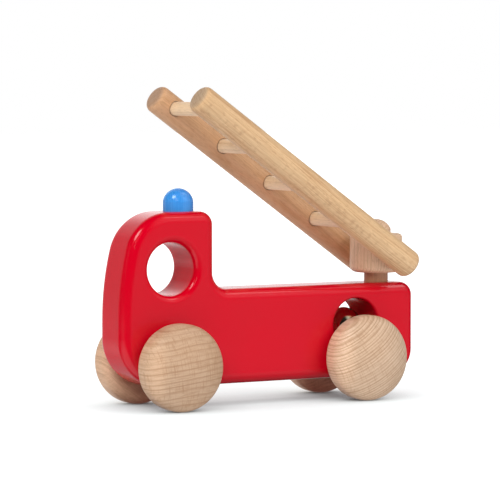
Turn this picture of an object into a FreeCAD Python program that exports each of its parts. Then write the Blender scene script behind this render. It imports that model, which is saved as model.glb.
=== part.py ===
"""Wooden toy fire engine: a painted board body on four turned wheels, with a swivelling, tilting ladder.

Frame: +X towards the rear of the engine, +Y its right-hand side, +Z up. The origin is on the floor, under
the middle of the body. Lengths are in millimetres and angles in degrees.
"""
import FreeCAD, Part
import math
import os

import Sketcher

DIMENSIONS = {
    # body board
    "body_length": 158.0,
    "body_thickness": 24.0,
    "edge_round": 5.0,
    "underside_height": 10.0,
    "deck_height": 54.0,
    "roof_height": 90.0,
    "cab_length": 48.5,
    "foot_radius": 22.5,
    "rake_start_height": 41.0,
    "rake_radius": 130.0,
    "brow_radius": 22.5,
    "cab_rear_radius": 6.2,
    "cab_step_radius": 8.0,
    "deck_end_radius": 6.2,
    "rear_foot_radius": 12.0,
    # cab window and bell hole
    "window_setback": 26.0,
    "window_height": 64.0,
    "window_diameter": 24.5,
    "window_lip": 3.4,
    "bell_hole_height": 35.1,
    "bell_hole_diameter": 24.5,
    "bell_hole_lip": 1.3,
    # axles and wheels
    "front_axle_setback": 24.8,
    "wheelbase": 100.0,
    "axle_diameter": 8.0,
    "axle_running_gap": 0.1,
    "axle_chamfer": 0.6,
    "wheel_radius": 20.0,
    "wheel_gap": 1.0,
    "wheel_thickness": 21.3,
    "wheel_back_round": 6.0,
    "wheel_tread": 3.5,
    "wheel_bore_depth": 14.0,
    "wheel_shoulder_radius": 8.0,
    # beacon
    "beacon_setback": 35.2,
    "beacon_diameter": 14.2,
    "beacon_side": 4.4,
    "beacon_dome": 6.2,
    "beacon_tenon_diameter": 8.0,
    "beacon_tenon_depth": 9.0,
    # mast
    "mast_setback": 143.5,
    "mast_stem_diameter": 8.0,
    "mast_socket_depth": 14.0,
    "mast_head_diameter": 14.0,
    "mast_head_side": 2.2,
    "mast_head_dome": 4.6,
    "spacer_diameter": 11.4,
    "spacer_length": 4.5,
    "block_diameter": 25.0,
    "block_height": 18.4,
    "block_bottom_round": 3.0,
    "block_top_round": 2.0,
    "turning_gap": 0.06,
    "lift_gap": 0.05,
    # ladder
    "ladder_tilt": 34.8,
    "pivot_height": 66.4,
    "rail_diameter": 13.4,
    "rail_spacing": 41.0,
    "rail_tail": 8.2,
    "rail_reach": 133.5,
    "rail_end_round": 3.2,
    "rung_diameter": 6.5,
    "rung_pitch": 30.8,
    "rung_chamfer": 0.5,
    "rung_seat": 2.0,
    "rung_mouth_gap": 0.2,
    "rung_mouth_seat": 4.7,
    "pin_diameter": 6.5,
    "pin_inner_end": 5.9,
    # bell
    "bell_radius": 9.0,
    "bell_wall": 0.6,
    "bell_rim_radius": 9.35,
    "bell_rim_half_width": 0.45,
    "bell_lift": 0.08,
    "bell_slot_width": 1.5,
    "bell_slot_reach": 5.2,
    "bell_slot_eye": 3.0,
    "bell_slot_margin": 0.6,
    "bell_yaw": -50.0,
    "bell_lean": 62.0,
    "pellet_radius": 2.5,
}
RUNG_COUNT = 4
SIDES = (("left", -1), ("right", 1))

Z_AXIS = FreeCAD.Vector(0, 0, 1)
SAME_PLACE = 1e-4
HOLE_REACH = 1.0
LEAST_CUT = 1.0

doc = FreeCAD.newDocument("fire_engine")
sheet = doc.addObject("Spreadsheet::Sheet", "dims")
for row, (alias, number) in enumerate(DIMENSIONS.items(), start=1):
    sheet.set(f"A{row}", alias)
    sheet.set(f"B{row}", str(number))
    sheet.setAlias(f"B{row}", alias)
doc.recompute()

# Places that several sub-parts share, as expressions of the sheet.
FRONT_FACE = "(0 - dims.body_length / 2)"
FRONT_AXLE_X = f"({FRONT_FACE} + dims.front_axle_setback)"
REAR_AXLE_X = f"({FRONT_AXLE_X} + dims.wheelbase)"
WINDOW_X = f"({FRONT_FACE} + dims.window_setback)"
BEACON_X = f"({FRONT_FACE} + dims.beacon_setback)"
MAST_X = f"({FRONT_FACE} + dims.mast_setback)"
BLOCK_BOTTOM = "(dims.deck_height + dims.spacer_length + dims.lift_gap)"
WHEEL_INNER_FACE = "(dims.body_thickness / 2 + dims.wheel_gap)"
BELL_Z = "(dims.wheel_radius + dims.axle_diameter / 2 + dims.bell_rim_radius + dims.bell_lift)"
RUNG_END = "(dims.rail_spacing / 2 + dims.rung_seat)"

nodes = []


def value(expression):
    """Number that an expression of the sheet gives."""
    return float(sheet.evalExpression(str(expression)))


def origin_plane(body, role):
    return next(feature for feature in body.Origin.OriginFeatures if feature.Role == role)


def new_body(label):
    body = doc.addObject("PartDesign::Body", label)
    nodes.append(body)
    return body


def new_sketch(body, role, offset="0"):
    """Sketch on one of the body's own origin planes, moved along the plane's normal."""
    sketch = body.newObject("Sketcher::SketchObject", f"{body.Name}_sketch")
    sketch.AttachmentSupport = [(origin_plane(body, role), "")]
    sketch.MapMode = "FlatFace"
    if value(offset) != 0:
        sketch.AttachmentOffset = FreeCAD.Placement(FreeCAD.Vector(0, 0, value(offset)), FreeCAD.Rotation())
        sketch.setExpression("AttachmentOffset.Base.z", offset)
    return sketch


def pin_point(sketch, curve, end, across, up):
    """Holds one end of a curve at a place given by two expressions."""
    for kind, axis, expression in (("DistanceX", -2, across), ("DistanceY", -1, up)):
        if value(expression) == 0:
            sketch.addConstraint(Sketcher.Constraint("PointOnObject", curve, end, axis))
            continue
        index = sketch.addConstraint(Sketcher.Constraint(kind, -1, 1, curve, end, value(expression)))
        sketch.setExpression(f"Constraints[{index}]", expression)


def arc_through(start, end, radius):
    """Arc from start to end; a positive radius turns left on the way, a negative one turns right."""
    chord = end - start
    normal = FreeCAD.Vector(-chord.y, chord.x, 0).normalize()
    rise = math.sqrt(radius**2 - (chord.Length / 2) ** 2)
    side = 1 if radius > 0 else -1
    centre = (start + end) / 2 + normal * (side * rise)
    middle = centre - normal * (side * abs(radius))
    return Part.Arc(start, middle, end)


def draw_outline(sketch, points):
    """Closed outline: each point is (across, up, radius of the arc to the next point, or None)."""
    places = [FreeCAD.Vector(value(across), value(up), 0) for across, up, _ in points]
    ends = []
    for index, (_, _, radius) in enumerate(points):
        start, end = places[index], places[(index + 1) % len(points)]
        if radius is None:
            curve = sketch.addGeometry(Part.LineSegment(start, end))
            ends.append((curve, 1, 2))
        else:
            curve = sketch.addGeometry(arc_through(start, end, value(radius)))
            ends.append((curve, 1, 2) if value(radius) > 0 else (curve, 2, 1))
    for index, (across, up, radius) in enumerate(points):
        curve, first, last = ends[index]
        following = ends[(index + 1) % len(points)]
        sketch.addConstraint(Sketcher.Constraint("Coincident", curve, last, following[0], following[1]))
        pin_point(sketch, curve, first, across, up)
        if radius is not None:
            size = sketch.addConstraint(Sketcher.Constraint("Radius", curve, abs(value(radius))))
            sketch.setExpression(f"Constraints[{size}]", f"abs({radius})")


def draw_circle(sketch, across, up, diameter):
    centre = FreeCAD.Vector(value(across), value(up), 0)
    circle = sketch.addGeometry(Part.Circle(centre, Z_AXIS, value(diameter) / 2))
    pin_point(sketch, circle, 3, across, up)
    size = sketch.addConstraint(Sketcher.Constraint("Diameter", circle, value(diameter)))
    sketch.setExpression(f"Constraints[{size}]", diameter)


def turned(label, points):
    """Body turned on a lathe: a half outline of (radius, height) points swept round the local Z axis."""
    body = new_body(label)
    sketch = new_sketch(body, "XZ_Plane")
    draw_outline(sketch, points)
    turning = body.newObject("PartDesign::Revolution", f"{label}_turning")
    turning.Profile = sketch
    turning.ReferenceAxis = (sketch, ["V_Axis"])
    turning.Angle = 360
    doc.recompute()
    return body


def cut(body, sketch, length=None, reverse=False):
    """Pocket of a given length, or right through to both sides, that has to remove material."""
    before = body.Shape.Volume
    pocket = body.newObject("PartDesign::Pocket", f"{body.Name}_pocket")
    pocket.Profile = sketch
    pocket.Reversed = reverse
    if length is None:
        pocket.Type = "ThroughAll"
        pocket.Midplane = True
    else:
        pocket.setExpression("Length", length)
    doc.recompute()
    if body.Shape.Volume > before - LEAST_CUT:
        raise RuntimeError(f"{sketch.Name} cuts nothing")


def round_edges(body, radius, chosen):
    """Rounds every edge of the body's tip for which chosen(edge) is true."""
    tip = body.Tip
    names = [f"Edge{index}" for index, edge in enumerate(tip.Shape.Edges, start=1) if chosen(edge)]
    fillet = body.newObject("PartDesign::Fillet", f"{body.Name}_fillet")
    fillet.Base = (tip, names)
    fillet.Radius = value(radius)
    fillet.setExpression("Radius", radius)
    doc.recompute()


def place(body, across="0", along="0", up="0", axis=Z_AXIS, angle="0"):
    """Puts a body at a point of the toy, turned about an axis through its own origin."""
    places = FreeCAD.Vector(value(across), value(along), value(up))
    body.Placement = FreeCAD.Placement(places, FreeCAD.Rotation(axis, value(angle)))
    for name, expression in (("Base.x", across), ("Base.y", along), ("Base.z", up)):
        body.setExpression(f"Placement.{name}", expression)
    if value(angle) != 0:
        body.setExpression("Placement.Rotation.Angle", angle)


# ---------------------------------------------------------------- painted body board


def in_side_face(edge):
    """True for an edge that lies wholly in the left or the right face of the board."""
    half = value("dims.body_thickness") / 2
    box = edge.BoundBox
    return box.YLength < SAME_PLACE and abs(abs(box.Center.y) - half) < SAME_PLACE


def hole_edge(across, up):
    """Test for the side-face edges of the hole whose centre is at a point of the side view."""
    def chosen(edge):
        centre = edge.BoundBox.Center
        away = math.hypot(centre.x - value(across), centre.z - value(up))
        return in_side_face(edge) and away < HOLE_REACH
    return chosen


def outer_corner(points, corner, arrive, leave, radius):
    """Adds a square corner rounded by a quarter arc; arrive and leave are unit steps (x, z)."""
    x, z = corner
    points.append((f"{x} - ({arrive[0]}) * {radius}", f"{z} - ({arrive[1]}) * {radius}", radius))
    points.append((f"{x} + ({leave[0]}) * {radius}", f"{z} + ({leave[1]}) * {radius}", None))


def body_outline():
    """Side view of the board, anticlockwise, starting where the front foot meets the underside."""
    rear = "dims.body_length / 2"
    under, deck, roof = "dims.underside_height", "dims.deck_height", "dims.roof_height"
    cab_rear = f"({FRONT_FACE} + dims.cab_length)"
    points = []
    outer_corner(points, (rear, under), (1, 0), (0, 1), "dims.rear_foot_radius")
    outer_corner(points, (rear, deck), (0, 1), (-1, 0), "dims.deck_end_radius")
    points.append((f"{cab_rear} + dims.cab_step_radius", deck, "0 - dims.cab_step_radius"))
    points.append((cab_rear, f"{deck} + dims.cab_step_radius", None))
    outer_corner(points, (cab_rear, roof), (0, 1), (-1, 0), "dims.cab_rear_radius")
    # The brow arc is tangent to the roof and, inside it, to the long arc of the raked front.
    brow_centre_up = "(dims.roof_height - dims.brow_radius)"
    rake_centre_x = f"({FRONT_FACE} + dims.rake_radius)"
    centres_apart = "(dims.rake_radius - dims.brow_radius)"
    rise = f"({brow_centre_up} - dims.rake_start_height)"
    brow_centre_x = f"({rake_centre_x} - sqrt(pow({centres_apart}; 2) - pow({rise}; 2)))"
    meet_x = f"({rake_centre_x} + ({brow_centre_x} - {rake_centre_x}) * dims.rake_radius / {centres_apart})"
    meet_up = f"(dims.rake_start_height + {rise} * dims.rake_radius / {centres_apart})"
    points.append((brow_centre_x, roof, "dims.brow_radius"))
    points.append((meet_x, meet_up, "dims.rake_radius"))
    points.append((FRONT_FACE, "dims.rake_start_height", None))
    outer_corner(points, (FRONT_FACE, under), (0, -1), (1, 0), "dims.foot_radius")
    return points


def make_board():
    body = new_body("body")
    outline = new_sketch(body, "XZ_Plane")
    draw_outline(outline, body_outline())
    board = body.newObject("PartDesign::Pad", "board")
    board.Profile = outline
    board.Midplane = True
    board.setExpression("Length", "dims.body_thickness")
    doc.recompute()
    round_edges(body, "dims.edge_round", in_side_face)

    for across, up, diameter, lip in (
        (WINDOW_X, "dims.window_height", "dims.window_diameter", "dims.window_lip"),
        (REAR_AXLE_X, "dims.bell_hole_height", "dims.bell_hole_diameter", "dims.bell_hole_lip"),
    ):
        hole = new_sketch(body, "XZ_Plane")
        draw_circle(hole, across, up, diameter)
        cut(body, hole)
        round_edges(body, lip, hole_edge(across, up))

    bores = new_sketch(body, "XZ_Plane")
    for across in (FRONT_AXLE_X, REAR_AXLE_X):
        draw_circle(bores, across, "dims.wheel_radius", "dims.axle_diameter + 2 * dims.axle_running_gap")
    cut(body, bores)

    for across, top, diameter, depth in (
        (BEACON_X, "dims.roof_height", "dims.beacon_tenon_diameter", "dims.beacon_tenon_depth"),
        (MAST_X, "dims.deck_height", "dims.mast_stem_diameter", "dims.mast_socket_depth"),
    ):
        socket = new_sketch(body, "XY_Plane", top)
        draw_circle(socket, across, "0", diameter)
        cut(body, socket, depth)


# ---------------------------------------------------------------- running gear


def rod_points(radius, length, chamfer):
    """Half outline of a plain rod with chamfered ends, standing on its lower end."""
    return [
        ("0", "0", None),
        (f"{radius} - {chamfer}", "0", None),
        (radius, chamfer, None),
        (radius, f"{length} - {chamfer}", None),
        (f"{radius} - {chamfer}", length, None),
        ("0", length, None),
    ]


def cross_rod(label, radius, end, chamfer, across, up):
    """Rod across the toy, from the left at -end to the right at +end."""
    rod = turned(label, rod_points(radius, f"2 * {end}", chamfer))
    place(rod, across, f"0 - {end}", up, axis=FreeCAD.Vector(-1, 0, 0), angle="90")


def make_axle(label, across):
    end = f"({WHEEL_INNER_FACE} + dims.wheel_bore_depth)"
    cross_rod(label, "dims.axle_diameter / 2", end, "dims.axle_chamfer", across, "dims.wheel_radius")


def make_wheel(label, across, side):
    """Wheel turned from one blank: flat back with a blind bore, rounded back edge, domed outside.

    The dome is a shoulder arc, tangent to the tread, that runs into a flatter crown arc.
    """
    bore = "dims.axle_diameter / 2"
    rim, shoulder = "dims.wheel_radius", "dims.wheel_shoulder_radius"
    tread_end = "(dims.wheel_back_round + dims.wheel_tread)"
    dome = f"(dims.wheel_thickness - {tread_end})"
    crown = f"((pow({rim}; 2) + pow({dome}; 2) - 2 * {rim} * {shoulder}) / (2 * ({dome} - {shoulder})))"
    share = f"({crown} / ({crown} - {shoulder}))"
    meet_out = f"({rim} - {shoulder}) * {share}"
    meet_up = f"dims.wheel_thickness - {crown} + ({crown} - {dome}) * {share}"
    wheel = turned(label, [
        (bore, "0", None),
        (f"{rim} - dims.wheel_back_round", "0", "dims.wheel_back_round"),
        (rim, "dims.wheel_back_round", None),
        (rim, tread_end, shoulder),
        (meet_out, meet_up, crown),
        ("0", "dims.wheel_thickness", None),
        ("0", "dims.wheel_bore_depth", None),
        (bore, "dims.wheel_bore_depth", None),
    ])
    inner_face = f"{side} * {WHEEL_INNER_FACE}"
    place(wheel, across, inner_face, rim, axis=FreeCAD.Vector(-side, 0, 0), angle="90")


# ---------------------------------------------------------------- beacon and mast


def make_beacon():
    """Round beacon with a tenon that is glued into the cab roof."""
    tenon = "dims.beacon_tenon_diameter / 2"
    side = "dims.beacon_diameter / 2"
    dome_radius = f"((pow({side}; 2) + pow(dims.beacon_dome; 2)) / (2 * dims.beacon_dome))"
    beacon = turned("beacon", [
        ("0", "0", None),
        (tenon, "0", None),
        (tenon, "dims.beacon_tenon_depth", None),
        (side, "dims.beacon_tenon_depth", None),
        (side, "dims.beacon_tenon_depth + dims.beacon_side", dome_radius),
        ("0", "dims.beacon_tenon_depth + dims.beacon_side + dims.beacon_dome", None),
    ])
    place(beacon, BEACON_X, "0", "dims.roof_height - dims.beacon_tenon_depth")


def make_mast_peg():
    """Headed peg: a straight stem glued into the deck under a domed head that keeps the block on."""
    stem = "dims.mast_stem_diameter / 2"
    head = "dims.mast_head_diameter / 2"
    under_head = "(dims.mast_socket_depth + dims.spacer_length + dims.block_height + 2 * dims.lift_gap)"
    dome_radius = f"((pow({head}; 2) + pow(dims.mast_head_dome; 2)) / (2 * dims.mast_head_dome))"
    peg = turned("mast_peg", [
        ("0", "0", None),
        (stem, "0", None),
        (stem, under_head, None),
        (head, under_head, None),
        (head, f"{under_head} + dims.mast_head_side", dome_radius),
        ("0", f"{under_head} + dims.mast_head_side + dims.mast_head_dome", None),
    ])
    place(peg, MAST_X, "0", "dims.deck_height - dims.mast_socket_depth")


def make_mast_spacer():
    """Collar round the stem that holds the block clear of the deck."""
    inner, outer = "dims.mast_stem_diameter / 2", "dims.spacer_diameter / 2"
    spacer = turned("mast_spacer", [
        (inner, "0", None),
        (outer, "0", None),
        (outer, "dims.spacer_length", None),
        (inner, "dims.spacer_length", None),
    ])
    place(spacer, MAST_X, "0", "dims.deck_height")


def make_swivel_block():
    """Drum that turns on the mast peg, with a blind bore in each side for the ladder's pins."""
    bore = "(dims.mast_stem_diameter / 2 + dims.turning_gap)"
    outer = "dims.block_diameter / 2"
    block = turned("swivel_block", [
        (bore, "0", None),
        (f"{outer} - dims.block_bottom_round", "0", "dims.block_bottom_round"),
        (outer, "dims.block_bottom_round", None),
        (outer, "dims.block_height - dims.block_top_round", "dims.block_top_round"),
        (f"{outer} - dims.block_top_round", "dims.block_height", None),
        (bore, "dims.block_height", None),
    ])
    for side in (-1, 1):
        # The plane's normal points to -Y, so a bore on the right is offset backwards along it.
        bore_end = f"({-side}) * (dims.pin_inner_end - dims.turning_gap)"
        pin_bore = new_sketch(block, "XZ_Plane", bore_end)
        pivot_up = f"dims.pivot_height - {BLOCK_BOTTOM}"
        draw_circle(pin_bore, "0", pivot_up, "dims.pin_diameter + 2 * dims.turning_gap")
        cut(block, pin_bore, "dims.block_diameter", reverse=side < 0)
    place(block, MAST_X, "0", BLOCK_BOTTOM)


# ---------------------------------------------------------------- ladder


def on_ladder(reach):
    """Place (across, up) at a distance from the pivot along the ladder."""
    return (
        f"{MAST_X} - {reach} * cos(dims.ladder_tilt * 1 deg)",
        f"dims.pivot_height + {reach} * sin(dims.ladder_tilt * 1 deg)",
    )


def drill_rail(rail, side, seat, oversize):
    """Blind holes in the inner side, one for the pin and each rung, that stop at seat from the axis."""
    holes = new_sketch(rail, "XZ_Plane", f"({-side}) * {seat}")
    draw_circle(holes, "0", "dims.rail_tail", f"dims.pin_diameter + {oversize}")
    for number in range(1, RUNG_COUNT + 1):
        up = f"dims.rail_tail + {number} * dims.rung_pitch"
        draw_circle(holes, "0", up, f"dims.rung_diameter + {oversize}")
    cut(rail, holes, "dims.rail_diameter", reverse=side > 0)


def make_rail(name, side):
    """Round rail with rounded ends; each hole opens a shade wide at its mouth."""
    radius = "dims.rail_diameter / 2"
    end_round = "dims.rail_end_round"
    length = "(dims.rail_tail + dims.rail_reach)"
    rail = turned(f"{name}_rail", [
        ("0", "0", None),
        (f"{radius} - {end_round}", "0", end_round),
        (radius, end_round, None),
        (radius, f"{length} - {end_round}", end_round),
        (f"{radius} - {end_round}", length, None),
        ("0", length, None),
    ])
    drill_rail(rail, side, "dims.rung_seat", "0")
    drill_rail(rail, side, "dims.rung_mouth_seat", "2 * dims.rung_mouth_gap")
    across, up = on_ladder("(0 - dims.rail_tail)")
    place(rail, across, f"{side} * dims.rail_spacing / 2", up,
          axis=FreeCAD.Vector(0, -1, 0), angle="90 - dims.ladder_tilt")


def make_rung(number):
    across, up = on_ladder(f"({number} * dims.rung_pitch)")
    cross_rod(f"rung_{number}", "dims.rung_diameter / 2", RUNG_END, "dims.rung_chamfer", across, up)


def make_pivot_pin(name, side):
    """Stub pin glued into a rail, whose free end turns in the swivel block."""
    length = f"({RUNG_END} - dims.pin_inner_end)"
    pin = turned(f"{name}_pivot_pin", rod_points("dims.pin_diameter / 2", length, "dims.rung_chamfer"))
    place(pin, MAST_X, f"{side} * dims.pin_inner_end", "dims.pivot_height",
          axis=FreeCAD.Vector(-side, 0, 0), angle="90")


# ---------------------------------------------------------------- bell


def bell_half(label):
    """Half of the jingle bell, domed towards local +Z, with its share of the crimped rim."""
    inside = "(dims.bell_radius - dims.bell_wall)"
    rim, rim_up = "dims.bell_rim_radius", "dims.bell_rim_half_width"
    shoulder = f"sqrt(pow(dims.bell_radius; 2) - pow({rim_up}; 2))"
    return turned(label, [
        (inside, "0", None),
        (rim, "0", None),
        (rim, rim_up, None),
        (shoulder, rim_up, "dims.bell_radius"),
        ("0", "dims.bell_radius", None),
        ("0", inside, f"0 - {inside}"),
    ])


def place_in_bell(shell, lean):
    """Leans a half shell's axis out of the vertical and turns it, about the bell's centre."""
    centre = f"create(<<vector>>; {REAR_AXLE_X}; 0; {BELL_Z})"
    turn = f"create(<<rotation>>; dims.bell_yaw; {lean}; 0)"
    shell.setExpression("Placement", f"create(<<placement>>; {centre}; {turn})")


def make_bell():
    """Two pressed half shells crimped together, the slotted one facing forwards and to the left."""
    upper = bell_half("bell_upper_shell")
    place_in_bell(upper, "dims.bell_lean + 180")
    lower = bell_half("bell_lower_shell")
    reach, half_width = "dims.bell_slot_reach", "dims.bell_slot_width / 2"
    depth = "dims.bell_radius - dims.bell_rim_half_width - dims.bell_slot_margin"
    for along_x in (True, False):
        slot = new_sketch(lower, "XY_Plane", "dims.bell_radius")
        long_way, short_way = (reach, half_width) if along_x else (half_width, reach)
        draw_outline(slot, [
            (f"0 - {long_way}", f"0 - {short_way}", None),
            (long_way, f"0 - {short_way}", None),
            (long_way, short_way, None),
            (f"0 - {long_way}", short_way, None),
        ])
        cut(lower, slot, depth)
    eyes = new_sketch(lower, "XY_Plane", "dims.bell_radius")
    for sign in (-1, 1):
        draw_circle(eyes, f"({sign}) * {reach}", "0", "dims.bell_slot_eye")
        draw_circle(eyes, "0", f"({sign}) * {reach}", "dims.bell_slot_eye")
    cut(lower, eyes, depth)
    place_in_bell(lower, "dims.bell_lean")


def make_pellet():
    """Steel ball that lies in the bottom of the bell."""
    pellet = doc.addObject("Part::Sphere", "bell_pellet")
    pellet.setExpression("Radius", "dims.pellet_radius")
    pellet.setExpression("Placement.Base.x", REAR_AXLE_X)
    drop = "(dims.bell_radius - dims.bell_wall - dims.pellet_radius - dims.bell_lift)"
    pellet.setExpression("Placement.Base.z", f"{BELL_Z} - {drop}")
    nodes.append(pellet)


# ---------------------------------------------------------------- assembly and files


def build():
    make_board()
    make_beacon()
    for end, across in (("front", FRONT_AXLE_X), ("rear", REAR_AXLE_X)):
        make_axle(f"{end}_axle", across)
        for name, side in SIDES:
            make_wheel(f"{end}_{name}_wheel", across, side)
    make_mast_peg()
    make_mast_spacer()
    make_swivel_block()
    for name, side in SIDES:
        make_rail(name, side)
        make_pivot_pin(name, side)
    for number in range(1, RUNG_COUNT + 1):
        make_rung(number)
    make_bell()
    make_pellet()
    doc.recompute()


def check_and_export():
    for item in doc.Objects:
        if "Invalid" in item.State or "Error" in item.State:
            raise RuntimeError(f"{item.Name} is {item.State}")
    for node in nodes:
        if node.Shape.isNull() or not node.Shape.isValid():
            raise RuntimeError(f"{node.Label} has no valid shape")
    os.makedirs("parts", exist_ok=True)
    for node in nodes:
        node.Shape.exportStep(f"parts/{node.Label}.step")
        box = node.Shape.BoundBox
        print(f"{node.Label:18s} solids {len(node.Shape.Solids)}  volume {node.Shape.Volume:9.1f}  "
              f"x {box.XMin:7.2f} {box.XMax:7.2f}  y {box.YMin:7.2f} {box.YMax:7.2f}  "
              f"z {box.ZMin:7.2f} {box.ZMax:7.2f}")


build()
check_and_export()
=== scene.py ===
"""Wooden toy fire engine: finishes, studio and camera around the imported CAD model.

Metres, in the CAD's own frame: +X towards the rear, +Y the right-hand side, +Z up.
"""
import math

import bpy
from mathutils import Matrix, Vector


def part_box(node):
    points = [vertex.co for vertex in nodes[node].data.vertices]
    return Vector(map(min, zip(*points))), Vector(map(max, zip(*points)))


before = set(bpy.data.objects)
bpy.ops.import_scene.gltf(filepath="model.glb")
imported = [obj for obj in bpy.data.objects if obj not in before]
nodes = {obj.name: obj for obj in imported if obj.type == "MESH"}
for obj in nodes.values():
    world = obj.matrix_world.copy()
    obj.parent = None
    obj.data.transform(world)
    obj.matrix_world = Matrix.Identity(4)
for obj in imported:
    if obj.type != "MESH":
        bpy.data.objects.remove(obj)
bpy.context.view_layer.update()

MM = 0.001


def middle(node):
    low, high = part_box(node)
    return (low + high) / 2


# ---------------------------------------------------------------- node trees


class Graph:
    """Adds nodes to a tree and wires numbers, colours, sockets or other nodes into them."""

    # Where a Mix node set to colours keeps them; its other sockets share their names.
    MIX_FIRST, MIX_SECOND, MIX_RESULT = 6, 7, 2

    def __init__(self, tree):
        self.tree = tree

    def add(self, kind, inputs=(), **settings):
        node = self.tree.nodes.new(kind)
        for name, setting in settings.items():
            setattr(node, name, setting)
        for key, given in dict(inputs).items():
            self.wire(given, node.inputs[key])
        return node

    def wire(self, given, socket):
        if isinstance(given, bpy.types.Node):
            given = given.outputs[0]
        if isinstance(given, bpy.types.NodeSocket):
            self.tree.links.new(given, socket)
        elif isinstance(given, (tuple, list, Vector)):
            values = list(given)
            if len(socket.default_value) == 4 and len(values) == 3:
                values.append(1.0)
            socket.default_value = values
        else:
            socket.default_value = given

    def calc(self, operation, first, second=0.0, clamp=False):
        return self.add("ShaderNodeMath", {0: first, 1: second},
                        operation=operation, use_clamp=clamp).outputs[0]

    def plus(self, first, second):
        return self.calc("ADD", first, second)

    def times(self, first, second):
        return self.calc("MULTIPLY", first, second)

    def vector(self, operation, first, second=(0.0, 0.0, 0.0)):
        node = self.add("ShaderNodeVectorMath", {0: first, 1: second}, operation=operation)
        return node.outputs["Value" if operation in ("DOT_PRODUCT", "LENGTH") else "Vector"]

    def scaled(self, place, factor):
        return self.add("ShaderNodeVectorMath", {0: place, "Scale": factor},
                        operation="SCALE").outputs[0]

    def combine(self, x, y, z):
        return self.add("ShaderNodeCombineXYZ", {"X": x, "Y": y, "Z": z}).outputs[0]

    def grey(self, level):
        return self.combine(level, level, level)

    def blend(self, share, first, second, mode="MIX"):
        node = self.add("ShaderNodeMix", data_type="RGBA", blend_type=mode)
        self.wire(share, node.inputs["Factor"])
        self.wire(first, node.inputs[self.MIX_FIRST])
        self.wire(second, node.inputs[self.MIX_SECOND])
        return node.outputs[self.MIX_RESULT]

    def span(self, given, low, high, to_low=0.0, to_high=1.0, smooth=True):
        """Map low..high onto to_low..to_high, and hold the ends beyond."""
        return self.add("ShaderNodeMapRange",
                        {"Value": given, "From Min": low, "From Max": high,
                         "To Min": to_low, "To Max": to_high},
                        interpolation_type="SMOOTHSTEP" if smooth else "LINEAR").outputs[0]

    def noise(self, place, detail=2.0, roughness=0.5):
        return self.add("ShaderNodeTexNoise", {"Vector": place, "Scale": 1.0, "Detail": detail,
                                               "Roughness": roughness}).outputs[0]


def new_material(name):
    material = bpy.data.materials.new(name)
    material.use_nodes = True
    graph = Graph(material.node_tree)
    shader = material.node_tree.nodes["Principled BSDF"]
    coordinates = graph.add("ShaderNodeTexCoord")
    return material, graph, shader, coordinates


def wire_surface(graph, shader, tone, roughness, relief, strength, depth):
    """Wire a colour, a roughness and a relief of the given depth into the shader."""
    bump = graph.add("ShaderNodeBump", {"Strength": strength, "Distance": depth, "Height": relief})
    graph.wire(tone, shader.inputs["Base Color"])
    graph.wire(roughness, shader.inputs["Roughness"])
    graph.wire(bump, shader.inputs["Normal"])


# ---------------------------------------------------------------- wood

RING_PEAK = 0.92  # where across a ring it is darkest
FAINTEST_RING = 0.35
UNEVEN_PER_RING, UNEVEN_RINGS = 0.33, 1.6  # how often ring widths vary, and by how many rings

# How often each pattern repeats, per metre unless it says per ring.
DRIFT_ACROSS, DRIFT_ALONG = 45.0, 12.0
RAYS_ALONG = 420.0
THREADS_PER_RING, THREADS_AROUND, THREADS_ALONG = 4.5, 150.0, 45.0
FIBRES_ACROSS, FIBRES_ALONG = 4200.0, 190.0
PATCHES = 38.0

WOOD_ROUGHNESS = 0.48
PATCH_TINT = (0.95, 0.92, 0.88)
# Painted shade: the dark ring laid where each rung enters a rail, in the gap's shade.
CREVICE_SHADE = (0.06, 0.022, 0.008)
CREVICE_SHADE_OUTSIDE, CREVICE_SHADE_INSIDE = 0.55 * MM, 0.25 * MM  # how far the dark rim reaches


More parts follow.
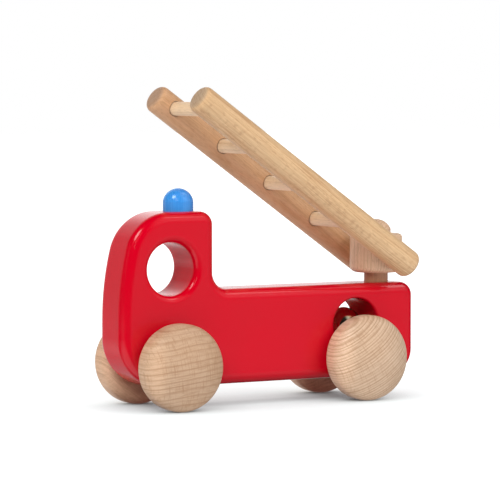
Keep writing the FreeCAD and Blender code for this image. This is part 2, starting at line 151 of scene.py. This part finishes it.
def growth(graph, place, grain, heart, offset, ring, late=0.45, wander=0.9,
           rays_per_m=(2400.0, 170.0)):
    """Solid wood field: ring shade, fine threads, ray mask and fibre, each 0..1.

    The pith line runs along grain through heart + offset. late is the share of a ring that
    darkens, wander is how far its layers stray, in rings, and rays_per_m is how fine the rays
    are around and out from the pith.
    """
    grain = Vector(grain).normalized()
    side = grain.orthogonal().normalized()
    other = grain.cross(side)
    local = graph.vector("SUBTRACT", place, heart + Vector(offset))
    along = graph.vector("DOT_PRODUCT", local, grain)
    across = graph.vector("DOT_PRODUCT", local, side)
    up = graph.vector("DOT_PRODUCT", local, other)

    # Slow drift of the layers, longer along the grain than across it.
    slow = graph.combine(graph.times(across, DRIFT_ACROSS), graph.times(up, DRIFT_ACROSS),
                         graph.times(along, DRIFT_ALONG))
    drift = graph.times(graph.calc("SUBTRACT", graph.noise(slow, detail=1.0), 0.5),
                        2.0 * wander * ring)
    reach = graph.calc("SQRT", graph.plus(graph.times(across, across), graph.times(up, up)))
    layer = graph.calc("DIVIDE", graph.plus(reach, drift), ring)
    uneven = graph.noise(graph.combine(graph.times(layer, UNEVEN_PER_RING), 0.0, 0.0), detail=1.0)
    layer = graph.plus(layer, graph.times(uneven, UNEVEN_RINGS))

    # Each ring darkens slowly, ends sharply, and is fainter or stronger than the next.
    part = graph.calc("FRACT", layer)
    rise = graph.span(part, RING_PEAK - late, RING_PEAK)
    fall = graph.span(part, RING_PEAK, 1.0, 1.0, 0.0)
    year = graph.add("ShaderNodeTexWhiteNoise", {"W": graph.calc("FLOOR", layer)},
                     noise_dimensions="1D")
    strength = graph.span(year.outputs["Value"], 0.0, 1.0, FAINTEST_RING, 1.0, smooth=False)
    shade = graph.times(graph.times(rise, fall), strength)

    # Rays are thin sheets that stand on the pith: lines on end grain, short flecks on a flat face.
    # The pith's distance turns the angle around it into a length at the piece.
    girth = graph.times(graph.calc("ARCTAN2", across, up), Vector(offset).length)
    rays = graph.noise(graph.combine(graph.times(girth, rays_per_m[0]),
                                     graph.times(reach, rays_per_m[1]),
                                     graph.times(along, RAYS_ALONG)), detail=1.5)
    ray = graph.span(rays, 0.50, 0.76)

    threads = graph.noise(graph.combine(graph.times(layer, THREADS_PER_RING),
                                        graph.times(girth, THREADS_AROUND),
                                        graph.times(along, THREADS_ALONG)), roughness=0.6)
    fibre = graph.noise(graph.combine(graph.times(across, FIBRES_ACROSS),
                                      graph.times(up, FIBRES_ACROSS),
                                      graph.times(along, FIBRES_ALONG)), roughness=0.6)
    return shade, graph.span(threads, 0.42, 0.72), ray, fibre


def paint_rim_shade(graph, place, tone, shaded_crevices):
    """Painted shade in the gaps around rods let into the wood: (point, direction, radius, half
    length) each.
    """
    for point, direction, radius, depth in shaded_crevices:
        local = graph.vector("SUBTRACT", place, point)
        away = graph.vector("LENGTH", graph.vector("CROSS_PRODUCT", local, direction))
        rim_shade = graph.times(graph.span(away, radius, radius + CREVICE_SHADE_OUTSIDE, 1.0, 0.0),
                          graph.span(away, radius - CREVICE_SHADE_INSIDE, radius))
        along = graph.calc("ABSOLUTE", graph.vector("DOT_PRODUCT", local, direction))
        inner = graph.calc("LESS_THAN", along, depth)
        tone = graph.blend(graph.times(graph.times(rim_shade, inner), 0.95), tone, CREVICE_SHADE)
    return tone


def wood(name, light, dark, fleck, grain, heart, offset, ring=1.4 * MM, contrast=0.7,
         thread_share=0.25, ray_share=0.3, end_tint=(0.80, 0.76, 0.72), end_share=0.0,
         painted_lit_side=None, shaded_crevices=(), **layers):
    """Sanded beech.

    contrast, thread_share and ray_share say how strongly rings, threads and rays show.
    The lit-side tuple (point, direction, reach, gain) is painted light: from 60% of reach on,
    along direction, the wood grows paler, as if lit from that side. layers go to growth().
    """
    material, graph, shader, coordinates = new_material(name)
    place = coordinates.outputs["Object"]
    shade, thread, ray, fibre = growth(graph, place, grain, heart, offset, ring, **layers)

    patch = graph.noise(graph.scaled(place, PATCHES), detail=3.0)
    shaded = [channel * tint for channel, tint in zip(light, PATCH_TINT)]
    tone = graph.blend(graph.span(patch, 0.3, 0.7), light, shaded)
    tone = graph.blend(graph.times(shade, contrast), tone, dark)
    tone = graph.blend(graph.times(thread, thread_share), tone, dark)
    tone = graph.blend(graph.times(ray, ray_share), tone, fleck)
    grain_level = graph.grey(graph.span(fibre, 0.25, 0.75, 0.90, 1.06))
    tone = graph.blend(1.0, tone, grain_level, mode="MULTIPLY")

    # Painted light: paler towards one side, as if that side were lit.
    if painted_lit_side:
        point, direction, reach, gain = painted_lit_side
        out = graph.vector("DOT_PRODUCT", graph.vector("SUBTRACT", place, point), direction)
        painted_light = graph.grey(graph.span(out, 0.6 * reach, reach, 1.0, gain))
        tone = graph.blend(1.0, tone, painted_light, mode="MULTIPLY")

    # End grain drinks more oil, so it is darker.
    facing = graph.calc("ABSOLUTE", graph.vector("DOT_PRODUCT", coordinates.outputs["Normal"],
                                                 Vector(grain).normalized()))
    end = graph.times(graph.span(facing, 0.55, 0.95), end_share)
    tone = graph.blend(end, tone, graph.blend(1.0, tone, end_tint, mode="MULTIPLY"))
    # Painted shade in the gaps around the rungs.
    tone = paint_rim_shade(graph, place, tone, shaded_crevices)

    relief = graph.plus(graph.times(shade, 0.5),
                        graph.plus(graph.times(fibre, 0.5), graph.times(ray, -0.4)))
    roughness = graph.span(fibre, 0.2, 0.8, WOOD_ROUGHNESS - 0.06, WOOD_ROUGHNESS + 0.08)
    wire_surface(graph, shader, tone, roughness, relief, 0.30, 0.04 * MM)
    return material


# ---------------------------------------------------------------- paint and metal

CLOUDS, ORANGE_PEEL = 45.0, 700.0  # per metre
STAINS = 260.0  # per metre
SCRATCHES = (900.0, 900.0, 9000.0)  # per metre


def paint(name, colour, deep, grain, heart, offset, ring, roughness, telegraph, gloss=0.5,
          flat_share=0.0):
    """Satin paint over wood.

    The grain shows faintly beneath it on sawn edges, and by flat_share on flat faces;
    telegraph is how much of its relief comes through.
    """
    material, graph, shader, coordinates = new_material(name)
    place = coordinates.outputs["Object"]
    shade, thread, _, _ = growth(graph, place, grain, heart, offset, ring)

    cloud = graph.noise(graph.scaled(place, CLOUDS), detail=3.0)
    normal = graph.add("ShaderNodeSeparateXYZ", {0: coordinates.outputs["Normal"]})
    sideways = graph.calc("ABSOLUTE", normal.outputs["Y"])
    edge = graph.span(sideways, 0.05, 0.30, 1.0, flat_share)
    lines = graph.times(graph.plus(shade, thread), edge)
    share = graph.calc("ADD", graph.times(graph.span(cloud, 0.3, 0.7), 0.35),
                       graph.times(lines, 0.45), clamp=True)
    tone = graph.blend(share, colour, deep)

    peel = graph.noise(graph.scaled(place, ORANGE_PEEL), detail=1.0)
    relief = graph.plus(graph.times(peel, 0.10), graph.times(lines, telegraph))
    rough = graph.span(cloud, 0.3, 0.7, roughness - 0.02, roughness + 0.03)
    wire_surface(graph, shader, tone, rough, relief, 0.25, 0.03 * MM)
    graph.wire(gloss, shader.inputs["Specular IOR Level"])
    return material


def metal(name, colour, worn, roughness):
    """Polished metal with faint stains and fine scratches."""
    material, graph, shader, coordinates = new_material(name)
    place = coordinates.outputs["Object"]
    stain = graph.noise(graph.scaled(place, STAINS), detail=4.0)
    scratch = graph.noise(graph.vector("MULTIPLY", place, SCRATCHES))
    tone = graph.blend(graph.span(stain, 0.45, 0.75), colour, worn)
    rough = graph.span(stain, 0.3, 0.8, roughness, roughness + 0.12)
    wire_surface(graph, shader, tone, rough, scratch, 0.12, 0.02 * MM)
    graph.wire(1.0, shader.inputs["Metallic"])
    return material


# ---------------------------------------------------------------- the toy's finishes


def dress(node, material):
    mesh = nodes[node].data
    mesh.materials.clear()
    mesh.materials.append(material)


PALE = (0.657, 0.453, 0.296)
PINKISH = (0.702, 0.474, 0.320)
# Painted shade: the mast spacer's wood, darkened for the swivel block's shadow.
SHADED_BROWN = (0.580, 0.325, 0.188)
LINE = (0.361, 0.196, 0.103)
SOFT_LINE = (0.412, 0.224, 0.124)
FLECK = (0.340, 0.169, 0.083)

# Wheels are cut from rod, so the grain runs along the axle and the growth layers cross each face.
# Each entry: light wood, pith from the wheel's middle (behind, above) in mm, ring in mm,
# late share, contrast, ray share.
WHEELS = {
    "front_left_wheel": ((0.545, 0.363, 0.240), (24.0, -190.0), 2.5, 0.38, 0.80, 0.60),
    "rear_left_wheel": ((0.660, 0.480, 0.345), (-71.0, 109.0), 1.35, 0.60, 0.90, 0.40),
    "front_right_wheel": ((0.680, 0.430, 0.280), (45.0, 60.0), 2.0, 0.40, 0.35, 0.30),
    "rear_right_wheel": ((0.680, 0.430, 0.285), (20.0, -85.0), 1.7, 0.45, 0.40, 0.30),
}
WHEEL_GRAIN = (0.02, 1.0, 0.03)
# Painted light on the near wheels: paler towards the front, as if lit from there.
LIT_SIDE_REACH, LIT_SIDE_GAIN = 17 * MM, 1.24
for node, (light, (behind, above), ring, late, contrast, ray_share) in WHEELS.items():
    painted_lit_side = None
    if "left" in node:
        painted_lit_side = (middle(node), (-1.0, 0.0, 0.0), LIT_SIDE_REACH, LIT_SIDE_GAIN)
    dress(node, wood(f"beech_{node}", light, LINE, FLECK, WHEEL_GRAIN, middle(node),
                     Vector((behind, 0.0, above)) * MM, ring=ring * MM, late=late,
                     contrast=contrast, wander=0.45, thread_share=0.45, ray_share=ray_share,
                     rays_per_m=(2500.0, 90.0), painted_lit_side=painted_lit_side))

for node in ("front_axle", "rear_axle"):
    dress(node, wood(f"beech_{node}", PALE, LINE, FLECK, (0, 1, 0), middle(node),
                     (0.004, 0, 0.01)))

# Turned pieces of the mast: light wood and pith from the middle.
MAST = {
    "swivel_block": ((0.780, 0.538, 0.360), (0.030, -0.012, 0)),
    "mast_peg": (PINKISH, (0.01, -0.02, 0)),
    # The spacer's darker brown is painted shade: it stands under the swivel block, in its shadow.
    "mast_spacer": (SHADED_BROWN, (0.012, 0.01, 0)),
}
for node, (light, offset) in MAST.items():
    dress(node, wood(f"beech_{node}", light, SOFT_LINE, FLECK, (0.02, 0.01, 1.0), middle(node),
                     offset, ring=1.1 * MM, contrast=0.45, end_share=0.5))

# Rails: light wood and pith from the middle. Their grain runs a little off the rod's line.
RAILS = {
    "left_rail": ((0.690, 0.463, 0.260), (0.004, -0.021, 0.030)),
    # The right rail's darker, redder wood is partly its own and partly painted shade: it is the far
    # rail, which stands in shade.
    "right_rail": ((0.610, 0.350, 0.192), (-0.003, 0.018, 0.026)),
}
RAIL_LINE, RAIL_FLECK = (0.470, 0.249, 0.113), (0.335, 0.149, 0.060)
rungs = [f"rung_{number}" for number in range(1, 5)]
rung_low, rung_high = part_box("rung_1")
rung_radius = (rung_high.z - rung_low.z) / 2
# Painted shade rings where each rung enters the rails.
rim_shades = [(middle(rung), (0.0, 1.0, 0.0), rung_radius, middle("right_rail").y) for rung in rungs]
ladder_way = (middle("rung_4") - middle("rung_1")).normalized()
rail_grain = ladder_way + Vector((0.0, 0.012, 0.02))
for node, (light, offset) in RAILS.items():
    dress(node, wood(f"beech_{node}", light, RAIL_LINE, RAIL_FLECK, rail_grain, middle(node),
                     offset, ring=1.9 * MM, contrast=0.40, thread_share=0.65, ray_share=0.32,
                     end_tint=(0.72, 0.77, 0.90), end_share=1.0, shaded_crevices=rim_shades))

DOWEL, DOWEL_LINE, DOWEL_FLECK = (0.800, 0.570, 0.360), (0.570, 0.360, 0.205), (0.401, 0.224, 0.107)
for number, node in enumerate([*rungs, "left_pivot_pin", "right_pivot_pin"]):
    offset = (0.006 + 0.002 * number, 0, 0.009 - 0.004 * number)
    dress(node, wood(f"dowel_{node}", DOWEL, DOWEL_LINE, DOWEL_FLECK, (0.01, 1.0, 0.02),
                     middle(node), offset, ring=1.0 * MM, contrast=0.40, ray_share=0.25,
                     end_share=0.5))

dress("body", paint("red_paint", (0.590, 0.0, 0.0125), (0.545, 0.0, 0.0105), (1.0, 0.01, 0.02),
                    middle("body"), (0, 0.140, -0.03), ring=2.2 * MM, roughness=0.15,
                    telegraph=0.9))
dress("beacon", paint("blue_paint", (0.050, 0.310, 0.770), (0.028, 0.205, 0.650),
                      (0, 0.02, 1.0), middle("beacon"), (0.02, -0.01, 0), ring=0.9 * MM,
                      roughness=0.21, telegraph=0.8, gloss=1.0, flat_share=1.0))
for node in ("bell_upper_shell", "bell_lower_shell"):
    dress(node, metal(f"brass_{node}", (0.960, 0.850, 0.600), (0.860, 0.690, 0.420), 0.10))
dress("bell_pellet", metal("steel", (0.56, 0.56, 0.57), (0.42, 0.41, 0.40), 0.25))


# ---------------------------------------------------------------- studio

FLOOR_HALF = 6.0
FLOOR_GLOW = 1.40
AIR_REACH, AIR_POWER = 0.30, 0.60  # how far off the toy still shades the floor, and how deeply
NEAR_GLOW = 0.72  # share of the paper's look that is its own glow, close to the toy
FLOOR_COLOUR = (0.78, 0.90, 0.92)
UNDER_BODY = (0.12, 0.028, 0.024)
LAMP_TARGET = (0, 0, 0.05)


def area_light(name, place, size, power):
    """Light that gives no reflection: what the toy mirrors is all in the world."""
    light = bpy.data.lights.new(name, "AREA")
    light.shape = "RECTANGLE"
    light.size, light.size_y = size
    light.energy = power
    lamp = bpy.data.objects.new(name, light)
    bpy.context.scene.collection.objects.link(lamp)
    lamp.location = place
    lamp.rotation_euler = (Vector(place) - Vector(LAMP_TARGET)).to_track_quat("Z", "Y").to_euler()
    lamp.visible_glossy = False


def floor_bounce(graph, place):
    """Light the floor throws back at the toy, which differs from side to side."""
    split = graph.add("ShaderNodeSeparateXYZ", {0: place})
    share = graph.times(graph.span(split.outputs["Y"], -0.04, 0.04, 0.87, 1.5),
                        graph.span(split.outputs["X"], -0.11, -0.07, 0.6, 1.0))
    # Below the body little light gets in, and the paint reddens it.
    under = graph.times(
        graph.span(graph.calc("ABSOLUTE", split.outputs["Y"]), 0.018, 0.030, 1.0, 0.0),
        graph.span(graph.calc("ABSOLUTE", split.outputs["X"]), 0.070, 0.088, 1.0, 0.0))
    return graph.blend(under, graph.grey(share), UNDER_BODY)


def make_floor():
    """White paper: its shade comes from how open it lies to the air, so it is soft and neutral."""
    mesh = bpy.data.meshes.new("studio_floor")
    corners = ((-1, -1), (1, -1), (1, 1), (-1, 1))
    mesh.from_pydata([(x * FLOOR_HALF, y * FLOOR_HALF, 0) for x, y in corners], [],
                     [(0, 1, 2, 3)])
    floor = bpy.data.objects.new("studio_floor", mesh)
    bpy.context.scene.collection.objects.link(floor)
    floor.visible_glossy = False

    material, graph, shader, coordinates = new_material("studio_floor")
    air = graph.add("ShaderNodeAmbientOcclusion", {"Distance": AIR_REACH}, samples=8)
    lit = graph.calc("POWER", air.outputs["AO"], AIR_POWER)
    place = coordinates.outputs["Object"]
    bounce = floor_bounce(graph, place)
    seen = graph.add("ShaderNodeLightPath").outputs["Is Camera Ray"]
    level = graph.blend(seen, bounce, graph.grey(lit))
    glow = graph.add("ShaderNodeEmission", {"Color": level, "Strength": FLOOR_GLOW})
    graph.wire(FLOOR_COLOUR, shader.inputs["Base Color"])
    graph.wire(0.9, shader.inputs["Roughness"])
    graph.wire(0.1, shader.inputs["Specular IOR Level"])

    # Near the toy the paper takes some real shadow; far off it is all glow.
    far = graph.span(graph.vector("LENGTH", place), 0.15, 0.45)
    glow_share = graph.plus(NEAR_GLOW, graph.times(far, 1.0 - NEAR_GLOW))
    paper = graph.add("ShaderNodeMixShader", {0: glow_share, 1: shader, 2: glow})
    # Seen from below the paper is clear, so the underside of the toy can be looked at.
    below = graph.add("ShaderNodeNewGeometry").outputs["Backfacing"]
    clear = graph.add("ShaderNodeBsdfTransparent")
    sheet = graph.add("ShaderNodeMixShader", {0: below, 1: paper, 2: clear})
    graph.wire(sheet, material.node_tree.nodes["Material Output"].inputs["Surface"])
    material.cycles.emission_sampling = "NONE"
    mesh.materials.append(material)


# What the toy is lit by and mirrors: direction, half angle where it is full and half angle
# where it ends, in degrees, and glow.
SOFT_BOXES = (
    ((0.51, -0.27, 0.82), 6.0, 17.0, 2.00),
    ((0.51, -0.50, 0.70), 6.0, 40.0, 0.55),
    ((-0.62, -0.19, 0.76), 8.0, 14.0, 7.00),
    ((0.65, -0.76, 0.00), 20.0, 42.0, 0.26),
    ((0.50, 0.86, 0.06), 20.0, 40.0, 0.82),
    ((0.15, 0.90, 0.42), 12.0, 38.0, 0.62),
    ((-0.51, 0.86, 0.00), 12.0, 26.0, 0.36),
    ((0.30, -0.40, -0.87), 15.0, 65.0, 0.25),
    ((-0.70, -0.15, -0.68), 22.0, 46.0, 0.90),
    ((-0.12, 0.86, -0.47), 14.0, 34.0, 0.48),
)
ROOM_LEVEL = 0.01


def make_world():
    """White backdrop to the eye; to the toy, a dark room with soft boxes."""
    world = bpy.data.worlds.new("studio")
    bpy.context.scene.world = world
    world.use_nodes = True
    graph = Graph(world.node_tree)
    way = graph.add("ShaderNodeTexCoord").outputs["Generated"]
    level = ROOM_LEVEL
    for direction, full, end, glow in SOFT_BOXES:
        facing = graph.vector("DOT_PRODUCT", way, Vector(direction).normalized())
        box = graph.span(facing, math.cos(math.radians(end)), math.cos(math.radians(full)),
                         0.0, glow)
        level = graph.plus(level, box)
    room = world.node_tree.nodes["Background"]
    graph.wire(graph.grey(level), room.inputs["Color"])
    backdrop = graph.add("ShaderNodeBackground", {"Color": (1.0, 1.0, 1.0), "Strength": 1.0})
    seen = graph.add("ShaderNodeLightPath").outputs["Is Camera Ray"]
    mixed = graph.add("ShaderNodeMixShader", {0: seen, 1: room, 2: backdrop})
    graph.wire(mixed, world.node_tree.nodes["World Output"].inputs["Surface"])


make_floor()
make_world()
area_light("front_right", (0.45, -1.30, 0.90), (1.1, 0.6), 9.3)
area_light("front_left", (-0.90, -0.90, 0.85), (0.7, 0.7), 11.8)
area_light("rear_left", (-1.35, 0.25, 0.50), (0.8, 0.6), 3.0)


# ---------------------------------------------------------------- camera

# Fitted to the photograph: it looks at TARGET from DISTANCE away, in the direction given.
TARGET = Vector((-0.0054, 0.0, 0.07096))
AZIMUTH, ELEVATION = math.radians(-30.638), math.radians(3.263)
DISTANCE = 1.40767
FOCAL_PIXELS, PHOTO_PIXELS = 3022.68, 500.0

scene = bpy.context.scene
scene.view_settings.view_transform = "Standard"

back = Vector((math.sin(AZIMUTH) * math.cos(ELEVATION), -math.cos(AZIMUTH) * math.cos(ELEVATION),
               math.sin(ELEVATION)))
camera_data = bpy.data.cameras.new("camera")
camera = bpy.data.objects.new("camera", camera_data)
scene.collection.objects.link(camera)
camera_data.sensor_width = 36.0
camera_data.lens = FOCAL_PIXELS * camera_data.sensor_width / PHOTO_PIXELS
camera.location = TARGET + back * DISTANCE
camera.rotation_mode = "QUATERNION"
camera.rotation_quaternion = back.to_track_quat("Z", "Y")
scene.camera = camera
